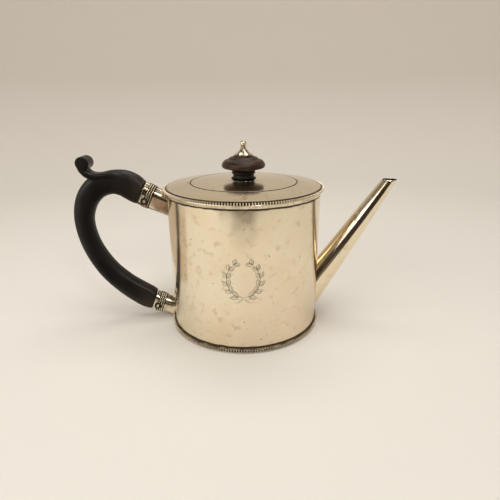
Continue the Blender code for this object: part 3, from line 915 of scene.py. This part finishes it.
def loft_along(route, half_width, powers, name):
    """Solid with superellipse sections along a route of (x, z, half thickness) in millimetres.

    The two powers are the section's squareness at the start and at the end.
    """
    path = smooth_path(route, 10)
    centres = np.stack([path[:, 0], np.zeros(len(path)), path[:, 1]], axis=1) * MM
    tangents = np.gradient(centres, axis=0)
    tangents /= np.linalg.norm(tangents, axis=1, keepdims=True)
    normals = np.cross(tangents, (0.0, 1.0, 0.0))
    angles = turns(56)
    power = np.linspace(*powers, len(path))[:, None]
    across = np.sign(np.cos(angles)) * np.abs(np.cos(angles)) ** (2 / power)
    sideways = np.sign(np.sin(angles)) * np.abs(np.sin(angles)) ** (2 / power)
    rings = (centres[:, None, :] + (path[:, 2:3] * MM * across)[:, :, None] * normals[:, None, :]
             + (half_width * sideways)[:, :, None] * np.array((0.0, 1.0, 0.0)))
    return new_object(name, ring_mesh(name, rings, close_rows=False, caps=True), None)


def make_handle():
    """Grip and thumb scroll merged into one carved piece."""
    grip = loft_along(GRIP_ROUTE, GRIP_WIDTH, (2.6, 2.6), "scroll_handle")
    strip = loft_along(SCROLL_ROUTE, SCROLL_WIDTH, (2.4, 5.0), "scroll_strip")
    roll_x, roll_z = ROLL_CENTRE
    reach = Vector((0, SCROLL_WIDTH + 0.1 * MM, 0))
    centre = Vector((roll_x * MM, 0, roll_z * MM))
    core = rod("scroll_core", ROLL_RADIUS * MM, centre - reach, centre + reach, None, 64, 0.6 * MM)
    handle = join_objects([grip, strip, core])
    remesh = handle.modifiers.new("carve", "REMESH")
    remesh.mode = "VOXEL"
    remesh.voxel_size = 0.36 * MM
    remesh.use_smooth_shade = True
    soften = handle.modifiers.new("soften", "SMOOTH")
    soften.factor = 0.5
    soften.iterations = 5
    apply_modifiers(handle)
    handle.data.materials.clear()
    handle.data.materials.append(BLACK_WOOD)
    handle.data.shade_smooth()
    place(handle, "pot", "ebonised_wood", "handle_grip")


# ---------------------------------------------------------------- lid and finial

def make_lid():
    stud_hole = 1.6 * MM
    lid = lathe("lid_dome", plate_profile(stud_hole, LID_RADIUS, 30), LID_SILVER)
    clear = HINGE.x + 1.6 * MM
    boolean(lid, block("hinge_side", (-60 * MM, -9 * MM, 95 * MM), (clear, 9 * MM, 115 * MM)))
    dent_plate(lid, 22)
    place(lid, "lid", "polished_silver", "lid_plate")
    low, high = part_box("lid_bezel")
    outer = high.x
    inner = outer - SHEET
    bezel = lathe("lid_collar", filleted([(outer, high.z + 0.3 * MM), (outer, low.z), (inner, low.z),
                                          (inner, high.z + 0.3 * MM)], 0.2 * MM), INNER_SILVER)
    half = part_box("lid_hinge_leaf")[1].y + 0.3 * MM
    boolean(bezel, block("leaf_slot", (-40 * MM, -half, 95 * MM), (-30 * MM, half, 115 * MM)))
    place(bezel, "lid", "polished_silver", "lid_bezel")


def sharpen(obj):
    """Keeps the edges of machined fittings crisp."""
    obj.data.shade_smooth()
    obj.data.set_sharp_from_angle(angle=math.radians(35))


def bore_and_sharpen(obj):
    """Drills a hinge part for its pin."""
    reach = Vector((0, 20 * MM, 0))
    boolean(obj, rod("bore", 0.6 * MM, HINGE - reach, HINGE + reach, None, 32))
    sharpen(obj)


def make_hinge():
    """Knuckles filed flush with the dome, so that only hairlines show beside the lid's seam."""
    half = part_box("lid_hinge_leaf")[1].y
    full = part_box("hinge_fixed_knuckles")[1].y
    side = Vector((0, 1, 0))
    knuckle = rod("lid_knuckle", 1.55 * MM, HINGE - side * half, HINGE + side * half, LID_SILVER, 64,
                  0.05 * MM)
    tongue = block("lid_tongue", (HINGE.x, -half, HINGE.z - 0.25 * MM),
                   (-30 * MM, half, HINGE.z + 0.35 * MM))
    boolean(knuckle, tongue, "UNION")
    shave = block("shave", (HINGE.x - 4 * MM, -9 * MM, crown(abs(HINGE.x)) - 0.02 * MM),
                  (HINGE.x + 4 * MM, 9 * MM, HINGE.z + 9 * MM))
    boolean(knuckle, shave)
    bore_and_sharpen(knuckle)
    place(knuckle, "lid", "silver_fittings", "lid_hinge_leaf")
    fixed = rod("fixed_knuckles", 1.22 * MM, HINGE - side * full, HINGE + side * full,
                INNER_SILVER, 48, 0.1 * MM)
    leaf_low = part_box("hinge_fixed_knuckles")[0]
    leaf = block("fixed_leaf", (leaf_low.x, -full, HINGE.z - 1.22 * MM),
                 (HINGE.x, full, HINGE.z - 0.65 * MM))
    boolean(fixed, leaf, "UNION")
    gap = half + 0.12 * MM
    boolean(fixed, block("middle", (HINGE.x - 2.4 * MM, -gap, HINGE.z - 9 * MM),
                         (HINGE.x + 9 * MM, gap, HINGE.z + 9 * MM)))
    bore_and_sharpen(fixed)
    place(fixed, "pot", "silver_fittings", "hinge_fixed_knuckles")
    pin = rod("hinge_rod", 0.5 * MM, HINGE - side * full, HINGE + side * full, INNER_SILVER, 24)
    place(pin, "pot", "silver_fittings", "hinge_pin")


def make_finial():
    hole = 1.6
    plate_low, plate_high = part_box("finial_base_plate")
    radius = plate_high.x
    bevel = 1.6 * MM
    section = filleted([(hole * MM, crown(0) + 0.25 * MM), (radius - bevel, crown(radius) + 0.2 * MM),
                        (radius, crown(radius) + 0.03 * MM), (radius, crown(radius) - 0.1 * MM),
                        (hole * MM, plate_low.z - 0.2 * MM)], 0.06 * MM)
    plate = lathe("finial_plate", section, LID_SILVER, 128)
    place(plate, "lid", "silver_fittings", "finial_base_plate")
    neck = smooth_path([(7.7, 112.7), (8.1, 112.1), (8.3, 111.4), (7.6, 110.5), (7.3, 109.6),
                        (7.5, 108.7), (8.0, 108.0)], 5)
    neck = [(hole, 112.7)] + [tuple(p) for p in neck] + [(hole, 108.0)]
    neck = lathe("finial_black_neck", np.array(neck) * MM, BLACK_WOOD, 96)
    place(neck, "lid", "ebonised_wood", "finial_neck")
    # Black ring on the lid round the neck's foot: painted shadow under the knop.
    shadow_ring_radius = 8.2 * MM
    shadow_ring_height = crown(shadow_ring_radius) + 0.35 * MM
    circle = [(shadow_ring_radius * math.cos(a), shadow_ring_radius * math.sin(a), shadow_ring_height)
              for a in turns(96)]
    seam = tube("finial_shadow_ring", circle, 0.45 * MM, TARNISH_AND_SHADE_BLACK, 10)
    place(seam, "lid", "silver_fittings")
    knop = smooth_path([(6.9, 122.6), (8.2, 122.3), (9.6, 121.75), (10.3, 121.1), (11.1, 120.6),
                        (12.5, 120.15), (13.3, 119.75), (13.9, 119.1), (14.5, 118.3), (15.0, 117.4),
                        (15.15, 116.5), (14.95, 115.6), (14.5, 115.0), (13.6, 114.6), (12.3, 114.25),
                        (10.3, 113.7), (8.9, 113.2), (8.2, 112.75)], 4)
    knop = [(hole, 122.6)] + [tuple(p) for p in knop] + [(hole, 112.75)]
    knop = lathe("finial_brown_disc", np.array(knop) * MM, BROWN_WOOD, 128)
    place(knop, "lid", "stained_wood", "finial_knop")
    cap = smooth_path([(0.0, 133.1), (1.1, 132.95), (1.9, 132.35), (2.25, 131.4), (2.05, 130.4),
                       (1.6, 129.5), (1.55, 129.0), (1.8, 128.4), (2.4, 127.3), (3.1, 126.3),
                       (3.7, 125.55), (4.5, 124.95), (5.9, 124.0), (6.6, 123.3), (6.75, 122.75)], 6)
    cap = np.vstack([cap, [(6.3, 122.6), (0.0, 122.6)]]) * MM
    cap[:, 1] += FINIAL_TOP - 133.1 * MM
    cap = lathe("finial_silver_bud", cap, CAP_SILVER, 96, on_axis=True)
    place(cap, "lid", "polished_silver", "finial_cap")
    make_finial_fixings()


def make_finial_fixings():
    """Threaded stud with a washer and a hexagonal nut under the lid."""
    low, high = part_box("finial_stud")
    pitch = 0.5 * MM
    crest = 1.25 * MM
    root = 1.02 * MM
    rows = []
    height = low.z
    while height < low.z + 6 * MM:
        rows.append((crest, height))
        rows.append((root, height + 0.5 * pitch))
        height += pitch
    rows = [(0.0, high.z), (crest, high.z)] + rows[::-1] + [(0.0, low.z)]
    stud = lathe("lid_stud", rows, FITTING_SILVER, 32, on_axis=True)
    sharpen(stud)
    place(stud, "lid", "silver_fittings", "finial_stud")
    low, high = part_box("finial_washer")
    washer = lathe("lid_washer", filleted([(high.x, high.z), (high.x, low.z), (1.3 * MM, low.z),
                                           (1.3 * MM, high.z)], 0.15 * MM), FITTING_SILVER, 64)
    place(washer, "lid", "silver_fittings", "finial_washer")
    low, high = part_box("finial_nut")
    nut = lathe("lid_nut", [(high.x, high.z), (high.x, low.z), (1.27 * MM, low.z),
                            (1.27 * MM, high.z)], FITTING_SILVER, 6)
    bevel = nut.modifiers.new("bevel", "BEVEL")
    bevel.width = 0.15 * MM
    bevel.segments = 3
    apply_modifiers(nut)
    sharpen(nut)
    place(nut, "lid", "silver_fittings", "finial_nut")


# ---------------------------------------------------------------- engraving

ENGRAVING_HEIGHT = 53.0 * MM
ENGRAVING_TURN = math.radians(-91.0)
WREATH_WIDTH = 10.2
WREATH_HEIGHT = 12.2
WREATH_GAP = 0.4


def stroke(solid, points, width):
    """One engraved cut that tapers to both ends, along (sideways, up) points in millimetres."""
    path = smooth_path(points, 5)
    count = len(path)
    sides = np.gradient(path, axis=0)
    sides = np.stack([-sides[:, 1], sides[:, 0]], axis=1)
    sides /= np.linalg.norm(sides, axis=1, keepdims=True) + 1e-9
    taper = 0.5 * width * np.sin(np.linspace(0.12, math.pi - 0.12, count)) ** 0.7
    lines = (path - sides * taper[:, None], path, path + sides * taper[:, None])
    lifts = (-0.05, 0.035, -0.05)
    rows = []
    for line, lift in zip(lines, lifts):
        angle = ENGRAVING_TURN + line[:, 0] * MM / BODY_RADIUS
        spots = np.stack([BODY_RADIUS * np.cos(angle), BODY_RADIUS * np.sin(angle),
                          ENGRAVING_HEIGHT + line[:, 1] * MM], axis=1)
        radius = BODY_RADIUS + wall_ripple(spots) + lift * MM
        spots[:, 0] = radius * np.cos(angle)
        spots[:, 1] = radius * np.sin(angle)
        rows.append([solid.verts.new(spot) for spot in spots])
    for i in range(count - 1):
        for a, b in ((0, 1), (1, 2), (2, 0)):
            solid.faces.new((rows[a][i], rows[a][i + 1], rows[b][i + 1], rows[b][i]))
    solid.faces.new((rows[2][0], rows[1][0], rows[0][0]))
    solid.faces.new((rows[0][-1], rows[1][-1], rows[2][-1]))


def wreath_point(sign, angle):
    """Point on the wreath's stem, in millimetres, on the right with sign 1 or the left with -1."""
    return sign * (WREATH_WIDTH * math.cos(angle) + WREATH_GAP), WREATH_HEIGHT * math.sin(angle)


def leaf(solid, foot, direction, length, belly):
    """Laurel leaf: two outline cuts, a midrib and short shading cuts on its lower half."""
    foot = np.array(foot)
    forward = np.array((math.cos(direction), math.sin(direction)))
    side = np.array((-forward[1], forward[0]))
    tip = foot + forward * length
    for sign in (-1, 1):
        middle = foot + forward * length * 0.45 + side * belly * sign
        stroke(solid, [foot, middle, tip], 0.70)
    stroke(solid, [foot, foot + forward * length * 0.5, tip - forward * length * 0.12], 0.50)
    for hatch in range(4):
        start = foot + forward * length * (0.18 + 0.16 * hatch)
        reach = belly * (0.85 - 0.12 * abs(hatch - 1.2))
        end = start + forward * length * 0.14 - side * reach
        stroke(solid, [start, 0.5 * (start + end) - forward * 0.05, end], 0.44)


def make_engraving():
    """Generic wreath of two laurel sprays tied with a ribbon, open at the top."""
    solid = bmesh.new()
    for sign in (-1, 1):
        stem = [wreath_point(sign, math.radians(-96 + 170 * step / 8)) for step in range(9)]
        stroke(solid, stem, 0.70)
        for pair in range(6):
            angle = math.radians(-74 + 26.0 * pair)
            foot = wreath_point(sign, angle)
            heading = math.atan2(WREATH_HEIGHT * math.cos(angle),
                                 -sign * WREATH_WIDTH * math.sin(angle))
            size = 6.2 - 0.30 * pair
            for turn in (0.52, -0.52):
                leaf(solid, foot, heading + turn, size, 1.30)
        loop = [(0.0, -12.4), (2.6, -10.9), (4.6, -12.4), (2.4, -13.8), (0.0, -12.6)]
        tail = [(0.0, -12.8), (1.8, -14.9), (4.4, -16.0), (6.6, -15.4)]
        tail_fold = [(0.3, -12.8), (2.6, -14.6), (4.8, -15.2)]
        for ribbon, width in ((loop, 0.50), (tail, 0.50), (tail_fold, 0.34)):
            stroke(solid, [(sign * x, y) for x, y in ribbon], width)
    bmesh.ops.recalc_face_normals(solid, faces=solid.faces)
    mesh = bpy.data.meshes.new("wreath_engraving")
    solid.to_mesh(mesh)
    solid.free()
    engraving = new_object("wreath_engraving", mesh, ENGRAVED)
    place(engraving, "pot", "silver_fittings")


# ---------------------------------------------------------------- stage, light and camera

def cove_paper(name):
    """Pale matt paper, with painted shade that makes it a little darker and warmer where the cove
    rises.
    """
    nodes = Nodes(name)
    nodes.set(Roughness=0.85, Specular_IOR_Level=0.25)
    height = nodes.height_and_radius()[0]
    tone = nodes.ramp(nodes.math("MULTIPLY", height, 4.0),
                      [(0.0, (0.78, 0.746, 0.684)), (0.16, (0.76, 0.716, 0.652)),
                       (0.90, (0.64, 0.588, 0.524))])
    nodes.link(tone, nodes.shader.inputs["Base Color"])
    return nodes.material


def make_stage():
    """Round pale cove: a floor that sweeps up into a wall on every side."""
    reach = 1.05
    sweep = 0.45
    profile = [(0.0, 0.0), (0.3, 0.0), (reach - sweep, 0.0)]
    for step in range(1, 13):
        angle = math.pi / 2 * step / 12
        profile.append((reach - sweep + sweep * math.sin(angle), sweep - sweep * math.cos(angle)))
    profile.append((reach, 1.1))
    floor = lathe("stage_cove", profile, cove_paper("cove_paper"), 128, on_axis=True)


POT_MIDDLE = Vector((0, 0, 60 * MM))


def card_surface(name, colour, fade):
    """Matt card that is clear from behind, so that it darkens only what it faces.

    With a fade, as (half width, height), the card also melts away to its sides and to its foot.
    """
    nodes = Nodes(name)
    nodes.set(Base_Color=(*colour, 1.0), Roughness=1.0, Specular_IOR_Level=0.0)
    clear = nodes.add("ShaderNodeBsdfTransparent")
    side = nodes.add("ShaderNodeNewGeometry")
    either = nodes.add("ShaderNodeMixShader")
    see_through = side.outputs["Backfacing"]
    if fade:
        half_width, height = fade
        x, _, z = nodes.axes()
        across = nodes.math("ABSOLUTE", nodes.math("DIVIDE", x, half_width))
        sides_clear = nodes.ramp(across, [(0.10, 0.0), (0.95, 1.0)])
        foot_clear = nodes.ramp(nodes.math("DIVIDE", z, height), [(0.0, 1.0), (0.65, 0.0)])
        melted = nodes.math("MAXIMUM", sides_clear, foot_clear)
        see_through = nodes.math("MAXIMUM", see_through, melted)
    nodes.link(see_through, either.inputs[0])
    nodes.link(nodes.shader.outputs[0], either.inputs[1])
    nodes.link(clear.outputs[0], either.inputs[2])
    nodes.link(either.outputs[0], nodes.tree.nodes["Material Output"].inputs["Surface"])
    return nodes.material


def reflection_card(name, corners, colour, fade=None):
    """Studio flag that only shows in reflections: a flat card that faces the pot's middle."""
    mesh = bpy.data.meshes.new(name)
    mesh.from_pydata([tuple(corner) for corner in corners], [], [tuple(range(len(corners)))])
    face = mesh.polygons[0]
    if face.normal.dot(POT_MIDDLE - face.center) < 0:
        mesh.flip_normals()
    card = new_object(name, mesh, card_surface(name + "_paint", colour, fade))
    card.visible_camera = False
    card.visible_diffuse = False
    card.visible_shadow = False


def upright_card(name, distance, outline, colour, fade=None):
    """Reflection card in the plane at a distance in front, through (x, z) points in millimetres."""
    reflection_card(name, [(x * MM, -distance, z * MM) for x, z in outline], colour, fade)


def level_card(name, height, outline, colour):
    """Reflection card lying level at a height in millimetres, through (x, y) points."""
    reflection_card(name, [(x * MM, y * MM, height * MM) for x, y in outline], colour)


def make_cards():
    """Painted reflections seen only in the pot: dark cards for the unlit room and the camera, cards in
    front of the handle and the sockets, a darker floor patch on the left and a grey patch overhead
    that dims the cap's highlight.
    """
    upright_card("room_flag", 0.41, [(-300, 1), (650, 1), (650, 260), (-300, 260)],
                 (0.045, 0.034, 0.026))
    upright_card("camera_flag", 0.275, [(-95, 0), (95, 0), (95, 65), (-95, 65)], (0.26, 0.22, 0.19),
                 fade=(0.095, 0.065))
    upright_card("handle_flag", 0.035, [(-135, 0), (-80, 0), (-80, 105), (-95, 128), (-135, 128)],
                 (0.040, 0.030, 0.022))
    upright_card("upper_socket_flag", 0.034, [(-70, 62), (-52, 66), (-52, 92), (-70, 100)],
                 (0.72, 0.60, 0.51))
    upright_card("lower_socket_flag", 0.034, [(-68, 0), (-52, 0), (-52, 9), (-68, 14)],
                 (0.14, 0.10, 0.07))
    level_card("left_floor_card", 1, [(-420, -20), (-130, -20), (-130, 300), (-420, 300)],
               (0.58, 0.49, 0.40))
    level_card("cap_flag", 260, [(-45, -75), (45, -75), (45, 40), (-45, 40)], (0.30, 0.26, 0.22))


# Name, place, target, size in metres, watts and colour of each soft light
LIGHTS = (
    ("overhead_softbox", (0.10, -0.16, 0.98), (0, 0, 0.02), (0.70, 0.60), 4.6, (1.0, 0.985, 0.965)),
    ("backdrop_softbox", (0.0, 0.38, 1.05), (0, 0.62, 0.0), (0.8, 0.4), 3.4, (1.0, 0.98, 0.95)),
    ("left_softbox", (-0.58, -0.47, 0.40), (0.05, 0, 0.09), (0.84, 0.34), 2.4, (1.0, 0.99, 0.97)),
    ("right_lamp", (0.27, -0.72, 0.60), (0, 0, 0.08), (0.18, 0.18), 1.3, (1.0, 0.99, 0.97)),
)


def make_light():
    for name, place_at, target, size, power, colour in LIGHTS:
        light = bpy.data.lights.new(name, "AREA")
        light.shape = "RECTANGLE"
        light.size, light.size_y = size
        light.energy = power
        light.color = colour
        obj = bpy.data.objects.new(name, light)
        obj.location = place_at
        aim = Vector(target) - Vector(place_at)
        obj.rotation_euler = aim.to_track_quat("-Z", "Y").to_euler()
        bpy.context.scene.collection.objects.link(obj)
    world = bpy.data.worlds.new("studio")
    world.use_nodes = True
    background = world.node_tree.nodes["Background"]
    background.inputs["Color"].default_value = (1.0, 0.975, 0.935, 1.0)
    background.inputs["Strength"].default_value = 0.10
    bpy.context.scene.world = world
    bpy.context.scene.view_settings.view_transform = "Standard"


CAMERA_PLACE = (0.0, -0.28417, 0.15765)


def make_camera():
    """Close camera a little above the pot, turned, tipped and rolled as for the front view."""
    camera = bpy.data.cameras.new("camera")
    camera.sensor_width = 36.0
    camera.lens = 29.04
    camera.clip_start = 0.01
    obj = bpy.data.objects.new("camera", camera)
    yaw = math.radians(-0.83)
    pitch = math.radians(90.0 - 20.15)
    roll = math.radians(-0.42)
    turn = Matrix.Rotation(yaw, 4, "Z") @ Matrix.Rotation(pitch, 4, "X")
    turn = turn @ Matrix.Rotation(roll, 4, "Z")
    obj.matrix_world = Matrix.Translation(CAMERA_PLACE) @ turn
    bpy.context.scene.collection.objects.link(obj)
    bpy.context.scene.camera = obj


make_stage()
make_cards()
make_light()
make_camera()
make_wall()
make_base()
make_top_moulding()
make_tarnish_and_shade_line("rim_tarnish_and_shade", 97.8 * MM, 98.8 * MM, 97.8 * MM, 41)
make_tarnish_and_shade_line("foot_tarnish_and_shade", 3.2 * MM, 4.1 * MM, 4.1 * MM, 42)
make_beads("rim_beading", "top_bead_wire", 195, 11, 0.56)
make_beads("foot_beading", "base_bead_wire", 194, 12, 0.48, 1.35, 0.4 * MM)
make_top_plate()
make_spout()
make_socket(UPPER_SOCKET)
make_socket(LOWER_SOCKET)
make_handle()
make_lid()
make_hinge()
make_finial()
make_engraving()
